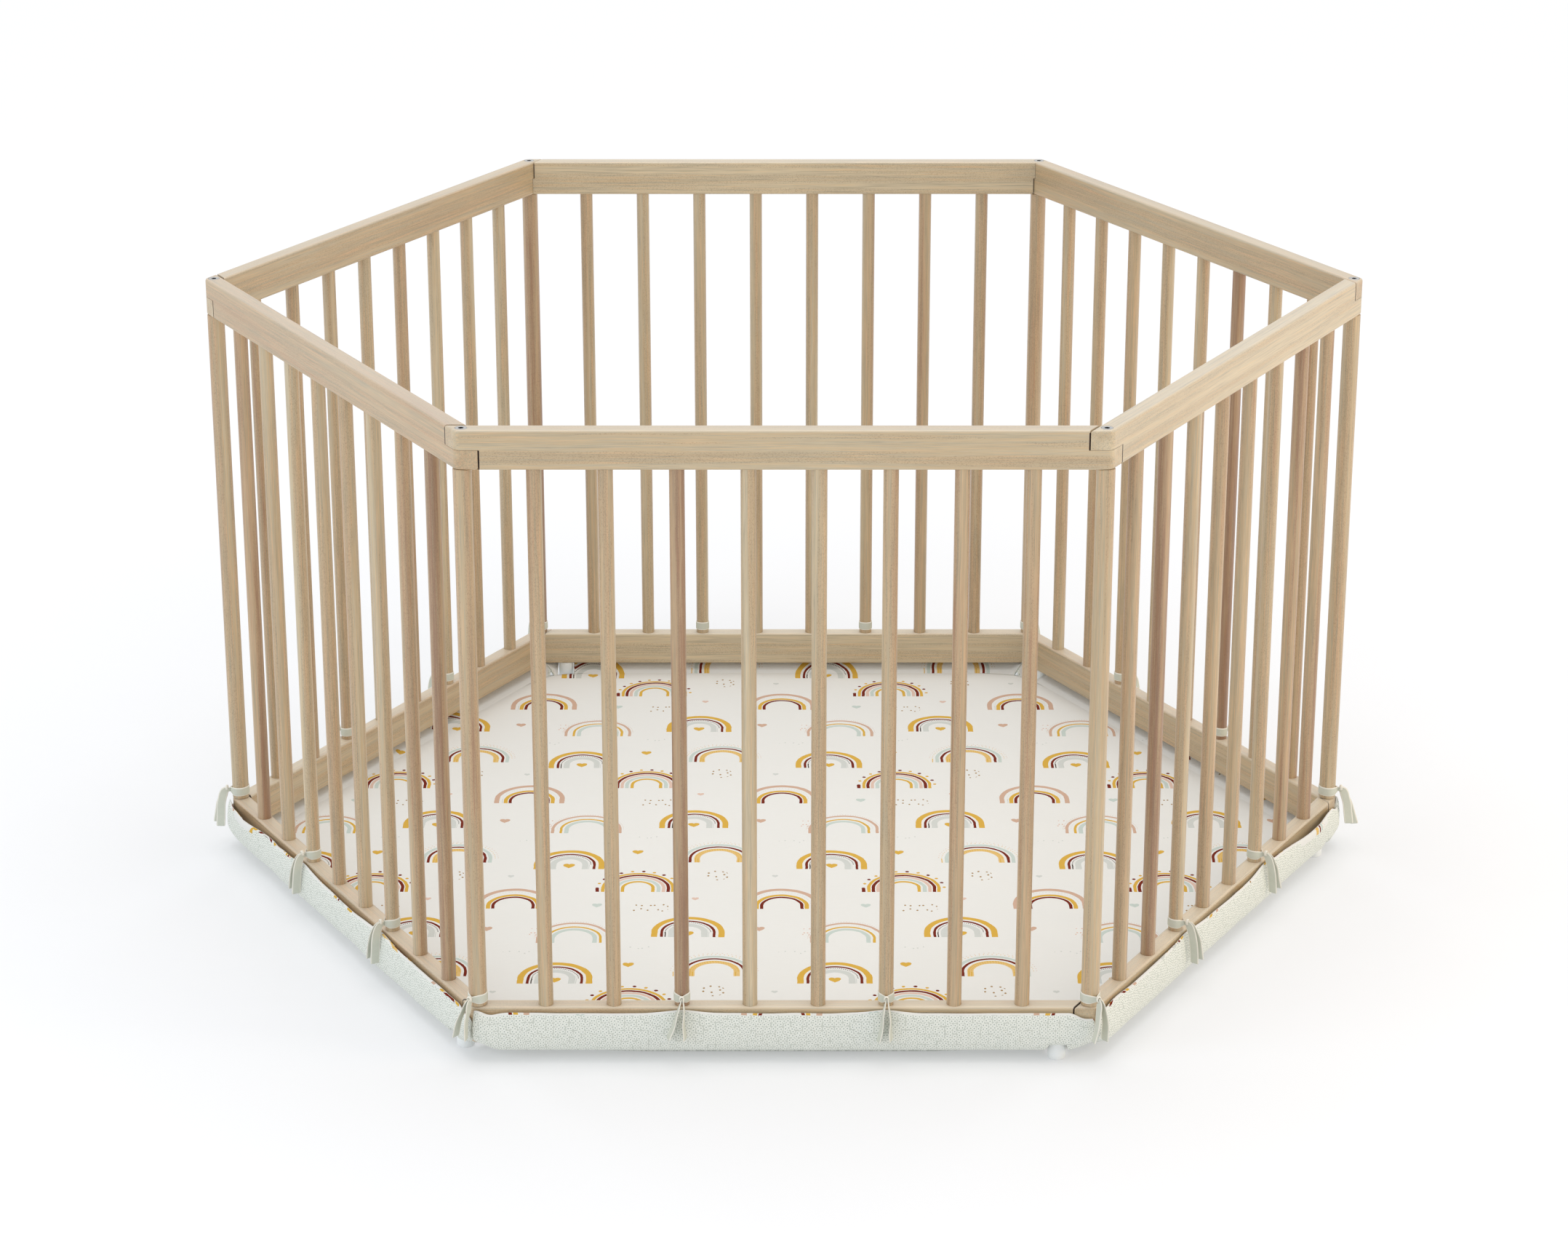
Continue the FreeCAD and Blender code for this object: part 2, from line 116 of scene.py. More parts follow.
class Finish:
    """A material with one Principled shader, and the nodes that feed it."""

    def __init__(self, name, **uniform):
        self.material = bpy.data.materials.new(name)
        self.material.use_nodes = True
        self.tree = self.material.node_tree
        self.shader = self.tree.nodes["Principled BSDF"]
        for socket, value in uniform.items():
            self.shader.inputs[socket.replace("_", " ")].default_value = value

    def node(self, kind, settings=None, *inputs, **named):
        """Add a node: its settings first, then its sockets by place or by name."""
        made = self.tree.nodes.new(kind)
        for key, value in (settings or {}).items():
            if key == "stops":
                self.set_stops(made.color_ramp, value)
            elif key == "steps":
                made.color_ramp.interpolation = "CONSTANT" if value else "LINEAR"
            else:
                setattr(made, key, value)
        for key, value in [*enumerate(inputs), *named.items()]:
            socket = made.inputs[key.replace("_", " ") if isinstance(key, str) else key]
            self.feed(socket, value)
        return Value(self, made.outputs[0])

    def set_stops(self, ramp, stops):
        while len(ramp.elements) > 1:
            ramp.elements.remove(ramp.elements[-1])
        ramp.elements[0].position = stops[0][0]
        for place, _ in stops[1:]:
            ramp.elements.new(place)
        for element, (_, colour) in zip(ramp.elements, stops):
            element.color = colour

    def feed(self, socket, value):
        if isinstance(value, Value):
            self.tree.links.new(value.socket, socket)
        elif value is not None:
            socket.default_value = value

    def paint(self, **inputs):
        """Link finished values to the shader's own sockets."""
        for key, value in inputs.items():
            self.feed(self.shader.inputs[key.replace("_", " ")], value)

    def place(self, output="Object"):
        """Where the shaded point is in its object, or with UV on the flat cloth."""
        return Value(self, self.tree.nodes.new("ShaderNodeTexCoord").outputs[output])

    def split(self, vector):
        x = self.node("ShaderNodeSeparateXYZ", None, vector)
        outputs = x.socket.node.outputs
        return x, Value(self, outputs[1]), Value(self, outputs[2])

    def join(self, x, y, z=0.0):
        return self.node("ShaderNodeCombineXYZ", None, x, y, z)

    def mix(self, factor, first, second, blend="MIX"):
        """Mix two colours."""
        made = self.tree.nodes.new("ShaderNodeMix")
        made.data_type = "RGBA"
        made.blend_type = blend
        for index, value in ((0, factor), (6, first), (7, second)):
            self.feed(made.inputs[index], value)
        return Value(self, made.outputs[2])

    def scaled(self, colour, factor):
        """A colour made lighter or darker by one number."""
        return self.mix(1.0, colour, self.join(factor, factor, factor), "MULTIPLY")

    def noise(self, vector, scale=1.0, detail=2.0, roughness=0.5):
        return self.node("ShaderNodeTexNoise", None, Vector=vector, Scale=scale, Detail=detail,
                         Roughness=roughness)

    def ramp(self, factor, stops, steps=False):
        return self.node("ShaderNodeValToRGB", {"stops": stops, "steps": steps}, factor)

    def bump(self, height, distance, strength=1.0):
        return self.node("ShaderNodeBump", None, Strength=strength, Distance=distance,
                         Height=height)


def shade(red, green, blue):
    """A paint-chart colour, 0 to 255, as the linear colour that a shader takes."""
    def linear(part):
        part /= 255
        return part / 12.92 if part <= 0.04045 else ((part + 0.055) / 1.055) ** 2.4
    return (linear(red), linear(green), linear(blue), 1.0)


BLACK = (0.0, 0.0, 0.0, 1.0)
WHITE = (1.0, 1.0, 1.0, 1.0)


# ---- beech ----

BEECH_PALE = shade(205, 188, 156)
BEECH_SAND = shade(189, 166, 130)
BEECH_TAN = shade(185, 154, 117)
BEECH_BROWN = shade(146, 110, 80)
# Painted highlight for the rails' upper faces.
BEECH_TOP_HIGHLIGHT = shade(238, 232, 221)
BEECH_FLECK = shade(118, 84, 58)
# Painted shade for the open slots of the rails' lap joints.
SLOT_PAINTED_SHADE = shade(58, 36, 20)
SLOT_WIDTH = 1.1 * MM
SLOT_EDGE = 0.35 * MM
SHOULDER_REACH = RAIL_MIDDLE - (RAIL_OUTER - RAIL_MIDDLE) - SLOT_WIDTH
RAIL_EDGE_RADIUS = 2.5 * MM
TOP_HIGHLIGHT_SHARE = 0.32
BAR_SWAY = 1.4 * MM
RAIL_SWAY = 2.2 * MM
RIPPLE = 0.6 * MM


def beech(name, turn, upright, tones, seed, middle=0.0, top=0.0, slot_top=0.0):
    """Planed, unvarnished beech.

    tones is one tone from 0, pale, to 1, brown, for each bar in turn. middle is a rail's half
    height, where the lap joints at its ends change over; their open slots are painted dark, a
    painted shade, up to slot_top. Its upper face, at top, is painted paler, a painted highlight.
    """
    wood = Finish(name, Specular_IOR_Level=0.7, Coat_Weight=0.55, Coat_Roughness=0.35)
    along_side = wood.node("ShaderNodeVectorRotate", {"rotation_type": "Z_AXIS"},
                           Vector=wood.place(), Angle=-turn)
    x, y, z = wood.split(along_side)
    stops = []
    for number, tone in enumerate(tones):
        start = 0 if number == 0 else (number + 0.5) / (len(tones) + 1)
        stops.append((start, (tone, tone, tone, 1)))
    tone = wood.ramp(x / SIDE_LENGTH + 0.5, stops, steps=True)
    grain, across = (z, x) if upright else (x, z)
    shift = tone * 5.3 + seed * 3.7
    sway = wood.noise(wood.join(grain * 9 + shift, across * 20, y * 20), 1, 1)
    ripple = wood.noise(wood.join(grain * 45 + shift, across * 60, y * 60), 1, 1)
    across = across + sway * (BAR_SWAY if upright else RAIL_SWAY) + ripple * RIPPLE
    bands = wood.noise(wood.join(grain * 1.6 + shift, across * 95 + shift, y * 95), 1, 2, 0.6)
    lines = wood.noise(wood.join(grain * 10 + shift, across * 600, y * 600), 1, 2, 0.8)
    fibres = wood.noise(wood.join(grain * 40 + shift, across * 1500, y * 1500), 1, 2, 0.65)
    drift = wood.noise(wood.join(grain * 4 + shift, across * 7, y * 7), 1, 2)
    fleck = wood.node("ShaderNodeTexVoronoi", {"feature": "F1"},
                      Vector=wood.join(grain * 420, across * 1500 + shift, y * 1500), Scale=1.0)
    spread = 1.5 if upright else 0.7
    brown = tone + (bands - 0.5) * spread + (lines - 0.5) * 1.5 + (drift - 0.5) * 0.4
    colour = wood.ramp(brown, [(0.0, BEECH_PALE), (0.32, BEECH_SAND),
                               (0.68, BEECH_TAN), (1.0, BEECH_BROWN)])
    flecked = (fleck < 0.32) * (bands > 0.48)
    colour = wood.mix(flecked * 0.4, colour, BEECH_FLECK)
    colour = wood.scaled(colour, 0.05 + fibres * 0.44 + lines * 1.4)
    if not upright:
        reach = abs(x) * math.cos(CORNER_TURN) - y * math.sin(CORNER_TURN)
        at_shoulder = abs(reach - SHOULDER_REACH) < SLOT_EDGE
        # Painted shade: the open slots of the lap joints are painted dark.
        slot = at_shoulder * (((z - middle) * x) > 0.0) * (z < slot_top)
        colour = wood.mix(slot, colour, SLOT_PAINTED_SHADE)
        # Painted highlight: the upper face and its rounded edge are painted paler, where light
        # from above falls.
        top_highlight = wood.node("ShaderNodeMapRange", None, z, top - RAIL_EDGE_RADIUS, top,
                           0.0, TOP_HIGHLIGHT_SHARE)
        colour = wood.mix(top_highlight, colour, BEECH_TOP_HIGHLIGHT)
    wood.paint(Base_Color=colour, Roughness=0.36 + fibres * 0.2,
               Normal=wood.bump(fibres * 0.7 + lines * 0.3, 0.3 * MM, 0.5))
    return wood.material


# Tone of each bar from the side's start to its finish, of each post, and of a side's two rails.
BAR_TONES = {
    "front": (0.4, 0.42, 0.85, 0.33, 0.35, 0.4, 0.55, 0.52),
    "right_front": (0.55, 0.8, 0.35, 0.55, 0.45, 0.3, 0.75, 0.55),
    "right_back": (0.5, 0.3, 0.95, 0.45, 0.3, 0.5, 0.4, 0.3),
    "back": (0.35, 0.6, 0.4, 0.35, 0.35, 0.3, 0.25, 0.4),
    "left_back": (0.2, 0.35, 0.25, 0.45, 0.15, 0.35, 0.45, 0.4),
    "left_front": (0.75, 0.45, 0.2, 0.35, 0.3, 0.35, 0.5, 0.7),
}
POST_TONES = {"front_left": 0.45, "front_right": 0.4, "right": 0.35, "back_right": 0.5,
              "back_left": 0.65, "left": 0.4}
RAIL_TONES = {"front": 0.25, "right_front": 0.12, "right_back": 0.3, "back": 0.08,
              "left_back": 0.25, "left_front": 0.42}


# ---- metal, plastic ----

# Painted shade inside the nuts' sockets.
SOCKET_PAINTED_SHADE = shade(34, 33, 34)
FOOT_WHITE = shade(240, 243, 243)
FOOT_DUST = shade(186, 181, 172)
DUST_TOP = 6 * MM


def zinc(name, colour, roughness, socket_top=None):
    """Zinc plate; a nut's is mottled, and painted dark below socket_top, a painted shade inside
    its socket.
    """
    metal = Finish(name, Metallic=1.0)
    place = metal.place()
    scuffs = metal.noise(place, 900, 3, 0.6)
    tint = shade(*colour)
    if socket_top is not None:
        spangle = metal.noise(place, 160, 1)
        tint = metal.mix(spangle, tint, shade(*(part * 0.86 for part in colour)))
        _, _, height = metal.split(place)
        # Painted shade: below socket_top, inside the socket, the nut is painted dark.
        tint = metal.mix(height < socket_top, tint, SOCKET_PAINTED_SHADE)
    metal.paint(Base_Color=tint, Roughness=roughness + scuffs * 0.18,
                Normal=metal.bump(scuffs, 0.05 * MM, 0.4))
    return metal.material


def moulded_white():
    """Satin white plastic with a fine moulded grain and a little dust low down."""
    plastic = Finish("foot_satin_white", Specular_IOR_Level=0.5, Coat_Weight=0.08)
    place = plastic.place()
    grain = plastic.noise(place, 1500, 2)
    _, _, height = plastic.split(place)
    dust = plastic.node("ShaderNodeMapRange", None, height, 0.0, DUST_TOP, 0.22, 0.0)
    colour = plastic.mix(dust * plastic.noise(place, 220, 3), FOOT_WHITE, FOOT_DUST)
    plastic.paint(Base_Color=colour, Roughness=0.34 + grain * 0.14,
                  Normal=plastic.bump(grain, 0.06 * MM, 0.4))
    return plastic.material


# ---- printed and plain cotton ----

INK_GROUND = shade(227, 227, 224)
INK_MUSTARD = shade(211, 169, 70)
INK_OCHRE = shade(221, 187, 122)
INK_BROWN = shade(160, 130, 82)
INK_RED = shade(114, 34, 13)
INK_SAGE = shade(194, 205, 199)
INK_PINK = shade(201, 168, 147)
INK_BLUSH = shade(216, 188, 173)
INK_GREY = shade(203, 206, 202)
INK_STITCH = shade(74, 66, 60)
NO_INK = (0.0, 0.0, 0.0, 0.0)
REPEAT = 296 * MM
ARCH_REACH = 60 * MM
DOT_STRETCH = 0.7
THREAD = 0.5 * MM


class Print:
    """The mat's printed pattern: a ground colour, and motifs laid over it once in every repeat."""

    def __init__(self, cloth, x, y):
        self.cloth = cloth
        self.x = x
        self.y = y
        self.colour = INK_GROUND

    def centred(self, x, y):
        """Coordinates round a motif, the same in every repeat."""
        half = REPEAT / 2
        return (self.x - (x - half)) % REPEAT - half, (self.y - (y - half)) % REPEAT - half

    def ink(self, mask, colour):
        self.colour = self.cloth.mix(mask, self.colour, colour)

    def arch(self, x, y, bands, leg=11 * MM, dots=()):
        """Round-headed arch on a flat base.

        Each band is its inner and outer radius and its ink, from inside out. Each row of dots is
        its radius, the dots' size, pitch and start, in mm, and their ink.
        """
        dx, dy = self.centred(x, y)
        above = dy > 0.0
        rise = (dy - leg).math("MAXIMUM", 0.0)
        radius = (dx * dx + rise * rise).math("SQRT")
        stops = [(0.0, NO_INK)]
        for start, end, colour in bands:
            stops.append((start * MM / ARCH_REACH, colour))
            stops.append((end * MM / ARCH_REACH, NO_INK))
        bands_colour = self.cloth.ramp(radius / ARCH_REACH, stops, steps=True)
        bands_alpha = Value(self.cloth, bands_colour.socket.node.outputs[1])
        self.ink(bands_alpha * above, bands_colour)
        if dots:
            angle = rise.math("ARCTAN2", dx)
        for middle, size, pitch, start, colour in dots:
            around = angle * (middle * MM) - start * MM
            along = (around % (pitch * MM)) - (pitch * MM / 2)
            out = radius - middle * MM
            spot = (along * along + out * out) < (size * MM / 2) ** 2
            self.ink(spot * above, colour)

    def heart(self, x, y, width, colour):
        dx, dy = self.centred(x, y)
        dx = abs(dx) / (width / 2)
        dy = dy / (width / 2)
        lift = dy * 1.25 - dx.math("SQRT") * 0.75
        self.ink((dx * dx + lift * lift) < 1.0, colour)

    def speckle(self, x, y, width, height, cell, size, colour):
        """A loose cluster of dots inside an oval."""
        dx, dy = self.centred(x, y)
        across = dx / (width / 2)
        up = dy / (height / 2)
        inside = (across * across + up * up) < 1.0
        place = self.cloth.join(dx + x, (dy + y) * DOT_STRETCH)
        spots = self.cloth.node("ShaderNodeTexVoronoi", {"voronoi_dimensions": "2D"},
                                Vector=place, Scale=1 / cell, Randomness=0.7)
        self.ink((spots < size / 2 / cell) * inside, colour)


def weave(cloth, u, v):
    """Height of a plain weave."""
    warp = (u * (math.pi / THREAD)).math("SINE")
    weft = (v * (math.pi / THREAD)).math("SINE")
    return warp * weft * 0.5 + 0.5


def printed_cotton():
    """White cotton printed with arches, hearts and dots."""
    cloth = Finish("mat_printed_cotton", Specular_IOR_Level=0.12, Sheen_Weight=0.03,
                   Sheen_Roughness=0.5)
    u, v, _ = cloth.split(cloth.place("UV"))
    wobble = cloth.noise(cloth.join(u, v), 90, 2)
    print_x = u + (wobble - 0.5) * (1.6 * MM)
    print_y = v + (wobble - 0.5) * (1.2 * MM)
    pattern = Print(cloth, print_x, print_y)
    for x, y in ((53.8, 205.8), (191.8, 25.5)):
        pattern.arch(x * MM, y * MM,
                     [(14.5, 21.5, INK_GREY), (26.9, 29.9, INK_RED), (33, 39.7, INK_MUSTARD)],
                     12.3 * MM, [(24.6, 1.4, 2.3, 0, INK_STITCH), (22.6, 0.9, 2.4, 1, INK_GREY)])
        pattern.heart(x * MM, (y + 7.5) * MM, 13 * MM, INK_MUSTARD)
    pattern.arch(133.4 * MM, 143.6 * MM,
                 [(15, 18.7, INK_MUSTARD), (20.8, 25.2, INK_SAGE), (26.9, 30.7, INK_BLUSH),
                  (32.1, 35.7, INK_RED), (37, 40.7, INK_MUSTARD)],
                 10.5 * MM, [(45, 4.2, 25.4, 2.2, INK_RED), (45, 3.9, 25.4, -10.5, INK_MUSTARD)])
    pattern.arch(221.8 * MM, 223.8 * MM,
                 [(20.6, 27.4, INK_OCHRE), (30.4, 33.7, INK_RED), (35.6, 39.8, INK_SAGE)],
                 11 * MM, [(25.6, 1.8, 2.9, 0, INK_MUSTARD), (22.9, 1.4, 2.9, 1, INK_MUSTARD),
                           (43.2, 1.4, 4.6, 0, INK_OCHRE), (46.6, 1.3, 5.2, 0, INK_BLUSH)])
    pattern.arch(-2.4 * MM, 98.3 * MM,
                 [(20.3, 23.7, INK_RED), (24.9, 29.7, INK_MUSTARD)], 8.5 * MM)
    pattern.arch(-2.4 * MM, 98.3 * MM,
                 [(35, 40.8, INK_PINK)], 13 * MM, [(31.4, 1.2, 3.6, 0, INK_GREY)])
    pattern.arch(68.5 * MM, 10.6 * MM,
                 [(20.3, 25.3, INK_SAGE), (27.5, 30.6, INK_MUSTARD), (36.8, 40.4, INK_PINK)],
                 11 * MM, [(42.8, 0.9, 3.0, 0, INK_PINK), (33.8, 0.9, 2.6, 0, INK_GREY)])
    for x, y, width, colour in ((90, 106, 11, INK_SAGE), (269, 45, 12, INK_PINK),
                                (198, 124, 8, INK_BLUSH), (130, 251, 12, INK_MUSTARD),
                                (286, 185, 7, INK_GREY)):
        pattern.heart(x * MM, y * MM, width * MM, colour)
    for x, y, width, height, cell, size, colour in (
            (147, 101, 46, 26, 8.0, 2.2, INK_BROWN), (220, 188, 30, 26, 8.0, 2.4, INK_BROWN),
            (141, 293, 34, 18, 7.5, 1.8, INK_GREY), (11, 283, 34, 18, 7.5, 1.8, INK_GREY),
            (26, 37, 14, 26, 5.0, 2.0, INK_BLUSH)):
        pattern.speckle(x * MM, y * MM, width * MM, height * MM, cell * MM, size * MM, colour)
    threads = weave(cloth, u, v)
    slub = cloth.noise(cloth.join(u * 60, v * 900), 1, 2)
    colour = cloth.scaled(pattern.colour, 0.955 + threads * 0.03 + slub * 0.03)
    creases = cloth.noise(cloth.join(u, v), 26, 3, 0.5)
    cloth.paint(Base_Color=colour, Roughness=0.82 + threads * 0.1,
                Normal=cloth.bump(threads * 0.12 + creases * 2.2, 0.5 * MM, 0.45))
    return cloth.material


DAISY_GREEN = shade(196, 202, 194)
DAISY_GREEN_PALE = shade(207, 210, 201)
DAISY_WHITE = shade(239, 241, 234)
DAISY_EYE = shade(158, 168, 160)
DAISY_PITCH = 4.0 * MM
DAISY_RADIUS = 1.95 * MM
PETAL_DEPTH = 0.27 * MM
EYE_RADIUS = 0.72 * MM


def soft_disc(cloth, radius, distance, blur):
    """1 nearer than radius and 0 beyond it, with a blurred edge."""
    return cloth.ramp((radius - distance) / blur + 0.5, [(0.0, BLACK), (1.0, WHITE)])


def daisy_cotton():
    """Pale grey-green cotton with small white flowers set close together."""
    cloth = Finish("border_daisy_cotton", Specular_IOR_Level=0.15, Sheen_Weight=0.05,
                   Sheen_Roughness=0.5)
    u, v, _ = cloth.split(cloth.place("UV"))
    cells = cloth.node("ShaderNodeTexVoronoi", {"voronoi_dimensions": "2D"},
                       Vector=cloth.join(u, v), Scale=1 / DAISY_PITCH, Randomness=0.42)
    centre = Value(cloth, cells.socket.node.outputs["Position"])
    away_x, away_y, _ = cloth.split(cloth.node("ShaderNodeVectorMath", {"operation": "SUBTRACT"},
                                               cloth.join(u, v), centre))
    petals = (away_y.math("ARCTAN2", away_x) * 6).math("SINE")
    out = cells * DAISY_PITCH
    flower = soft_disc(cloth, DAISY_RADIUS + petals * PETAL_DEPTH, out, 0.7 * MM)
    eye = soft_disc(cloth, EYE_RADIUS, out, 0.6 * MM)
    patches = cloth.noise(cloth.join(u, v), 70, 2)
    ground = cloth.mix(patches, DAISY_GREEN, DAISY_GREEN_PALE)
    colour = cloth.mix(flower * 0.9, ground, DAISY_WHITE)
    colour = cloth.mix(eye * 0.85, colour, DAISY_EYE)
    threads = weave(cloth, u, v)
    colour = cloth.scaled(colour, 0.95 + threads * 0.06)
    creases = cloth.noise(cloth.join(u * 3, v), 40, 3, 0.55)
    cloth.paint(Base_Color=colour, Roughness=0.84 + threads * 0.08,
                Normal=cloth.bump(threads * 0.12 + creases * 2.5, 0.5 * MM, 0.5))
    return cloth.material


TAPE_SAGE = shade(203, 206, 192)
TAPE_SAGE_PALE = shade(214, 216, 203)
TAPE_EDGE_CREAM = shade(238, 235, 224)
TAPE_WIDTH = 10.5 * MM
TAPE_EDGE = 1.6 * MM
TWILL_PITCH = 0.8 * MM


def twill_tape():
    """Sage cotton tape with paler woven edges."""
    tape = Finish("tie_sage_tape", Specular_IOR_Level=0.2, Sheen_Weight=0.1, Sheen_Roughness=0.5)
    u, v, _ = tape.split(tape.place("UV"))
    from_edge = TAPE_WIDTH / 2 - abs(u)
    pale = tape.ramp(from_edge / TAPE_EDGE, [(0.0, WHITE), (0.55, WHITE), (1.0, BLACK)])
    patches = tape.noise(tape.join(u, v), 120, 2)
    face = tape.mix(patches, TAPE_SAGE, TAPE_SAGE_PALE)
    colour = tape.mix(pale, face, TAPE_EDGE_CREAM)
    twill = ((u + v) * (math.tau / TWILL_PITCH)).math("SINE") * 0.5 + 0.5
    colour = tape.scaled(colour, 0.93 + twill * 0.08)
    tape.paint(Base_Color=colour, Roughness=0.8 + twill * 0.1,
               Normal=tape.bump(twill, 0.12 * MM, 0.5))
    return tape.material


# ---- meshes ----

def new_piece(name, shape, materials, turn=0.0):
    """Turn a bmesh about Z to its place and make it a smooth-shaded object."""
    shape.transform(Matrix.Rotation(turn, 4, "Z"))
    mesh = bpy.data.meshes.new(name)
    shape.to_mesh(mesh)
    shape.free()
    for material in materials:
        mesh.materials.append(material)
    mesh.shade_smooth()
    piece = bpy.data.objects.new(name, mesh)
    bpy.context.collection.objects.link(piece)
    return piece


def soften(piece):
    """Live subdivision that rounds a cloth piece."""
    modifier = piece.modifiers.new("soften", "SUBSURF")
    modifier.levels = modifier.render_levels = 1


def unfold(shape, where):
    """Give every corner of every face its place on the flat cloth."""
    layer = shape.loops.layers.uv.new("cloth")
    for face in shape.faces:
        for loop in face.loops:
            loop[layer].uv = where(loop.vert)


def ease(value):
    """Smooth step from 0 to 1."""
    value = min(max(value, 0.0), 1.0)
    return value * value * (3 - 2 * value)


def hump(distance, width):
    """Bell curve, 1 in the middle."""
    return math.exp(-(distance / width) ** 2)


def through(points, t):
    """Point at t, 0 to 1, on a smooth curve through evenly spaced points."""
    last = len(points) - 1
    place = min(max(t, 0.0), 1.0) * last
    index = min(int(place), last - 1)
    part = place - index
    before, start = points[max(index - 1, 0)], points[index]
    end, after = points[index + 1], points[min(index + 2, last)]
    return (start * 2 + (end - before) * part
            + (before * 2 - start * 5 + end * 4 - after) * part ** 2
            + (start * 3 - before - end * 3 + after) * part ** 3) / 2


# ---- mat ----

FLOOR_EDGE = RAIL_INNER + 2 * MM
FLOOR_ROUNDS = 6
FLOOR_ROLL = 1.3 * MM
ROLL_WIDTH = 14 * MM
SLOW_LOFT = 0.55 * MM
QUICK_LOFT = 0.25 * MM
LOFT_MARGIN = 40 * MM

# The corners are drawn in toward the middle from CORNER_START on, and their underside lifts.
CORNER_START = 572 * MM
CORNER_SQUEEZE = 0.5
CORNER_END = 592 * MM
CORNER_CURL = 5.5 * MM
CURL_WIDTH = 45 * MM


def floor_pad(printed, underside):
    """The mat's flat middle, from wall to wall under the inner faces of the lower rails."""
    shape = bmesh.new()
    bmesh.ops.create_circle(shape, cap_ends=True, cap_tris=True, segments=len(SIDES),
                            radius=FLOOR_EDGE / math.cos(CORNER_TURN))
    for _ in range(FLOOR_ROUNDS):
        bmesh.ops.subdivide_edges(shape, edges=shape.edges[:], cuts=1, use_grid_fill=True)
    shape.transform(Matrix.Rotation(CORNER_TURN, 4, "Z"))
    shape.normal_update()
    if next(iter(shape.faces)).normal.z < 0:
        bmesh.ops.reverse_faces(shape, faces=shape.faces[:])
    for vert in shape.verts:
        radius = vert.co.xy.length
        if radius > CORNER_START:
            vert.co *= (CORNER_START + (radius - CORNER_START) * CORNER_SQUEEZE) / radius
    for vert in shape.verts:
        x, y = vert.co.xy
        inside = FLOOR_EDGE - max(x * math.sin(turn * SIDE_TURN) - y * math.cos(turn * SIDE_TURN)
                                  for turn in range(len(SIDES)))
        slow = noise.noise(Vector((x * 7, y * 7, 2.0)))
        quick = noise.noise(Vector((x * 26, y * 26, 5.0)))
        loft = SLOW_LOFT * slow + QUICK_LOFT * quick
        roll = FLOOR_ROLL * (1 - ease(inside / ROLL_WIDTH))
        vert.co.z = MAT_TOP + loft * ease(inside / LOFT_MARGIN) - roll
    top = shape.faces[:]
    made = bmesh.ops.extrude_face_region(shape, geom=top)
    lower = [item for item in made["geom"] if isinstance(item, bmesh.types.BMVert)]
    for vert in lower:
        to_corner = CORNER_END - vert.co.xy.length
        vert.co.z = MAT_UNDERSIDE + CORNER_CURL * (1 - ease(to_corner / CURL_WIDTH))
    shape.normal_update()
    bmesh.ops.recalc_face_normals(shape, faces=shape.faces[:])
    for face in shape.faces:
        face.material_index = 0 if face.normal.z > 0.2 else 1
    unfold(shape, lambda vert: vert.co.xy)
    piece = new_piece("mat_floor", shape, [printed, underside])
    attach(piece, "root")
    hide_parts("mat_base")


# Cross-section of the padded border: distance out from the rail's outer face and height, in mm.
# It starts at the hem, goes down the outside, in under the rail and back up behind.
BORDER_SECTION = [
    (3.2, 55.4), (5.2, 54.2), (6.6, 48.8), (8.0, 39.2), (8.5, 29.8), (7.7, 21.5), (5.4, 15.6),
    (1.2, 12.6), (-6.0, 9.0), (-18.0, 4.2), (-33.0, 3.4), (-36.0, 6.0), (-33.0, 8.2), (-19.0, 9.6),
    (-9.0, 14.0), (-0.6, 18.4), (0.9, 21.5), (1.0, 35.5), (1.1, 48.4), (1.6, 54.2)]
OUTSIDE = range(9)
UNDER_RAIL = range(8, 16)
LOWER_FOLD, INNER_EDGE, UPPER_FOLD = 9, 12, 15
BORDER_HALF = (RAIL_OUTER + max(out for out, _ in BORDER_SECTION) * MM) * TAN_30
ROLLED_LEAN = 5 * MM
BORDER_STEP = 6 * MM
STRAIGHT_LENGTH = 290 * MM
FOOT_NOTCH = FOOT_RADIUS + 1.0 * MM
NOTCH_SLOPE = 0.7 * MM
TIE_PLACES = tuple(BAR_STEP * bar - SIDE_LENGTH / 2 for bar in TIED_BARS.values())

# How far the hem rises and falls along a side.
TIE_RISE = 3.2 * MM
START_RISE = 3.2 * MM
START_DIP = 2.2 * MM
START_SWELL = 0.9 * MM
FINISH_DROP = 6.2 * MM
HEM_WAVE = 0.8 * MM

# How far the outside swells, is pulled in at the ties and corners, and lifts off the ground.
PUFF = 1.3 * MM
FINE_PUFF = 0.6 * MM
TIE_PINCH = 2.6 * MM
CORNER_PINCH = 3.2 * MM
CORNER_LIFT = 10 * MM
LOWER_WAVE = 1.1 * MM

# Where along a side the top of the border leans away from the rail, over what width and how
# far, in mm.
BORDER_LEAN = {
    "front": ((-160, 40, 0.6), (150, 60, 0.8)),
    "right_front": ((-210, 60, 1.2), (15, 60, 2.4), (225, 55, 8.0)),
    "right_back": ((-200, 60, 1.0), (180, 60, 2.0)),
    "back": ((-170, 60, 1.0), (10, 60, 1.2)),
    "left_back": ((-220, 50, 2.5), (20, 60, 1.2)),
    "left_front": ((-258, 42, 7.5), (-165, 22, 2.4), (-128, 16, 2.8), (10, 50, 2.0),
                   (200, 60, 1.0)),
}


def border_stations():
    """Places along a side where the border's section is drawn, closer together at the foot."""
    count = round(2 * BORDER_HALF / BORDER_STEP)
    stations = [-BORDER_HALF + 2 * BORDER_HALF * index / count for index in range(count + 1)]
    walls = [FOOT_X + sign * reach
             for sign in (-1, 1) for reach in (FOOT_NOTCH, FOOT_NOTCH - NOTCH_SLOPE)]
    stations = [place for place in stations if all(abs(place - wall) > 1.5 * MM for wall in walls)]
    return sorted(stations + walls)


def lean_at(side, x):
    return sum(reach * MM * hump(x - place * MM, width * MM)
               for place, width, reach in BORDER_LEAN[side])


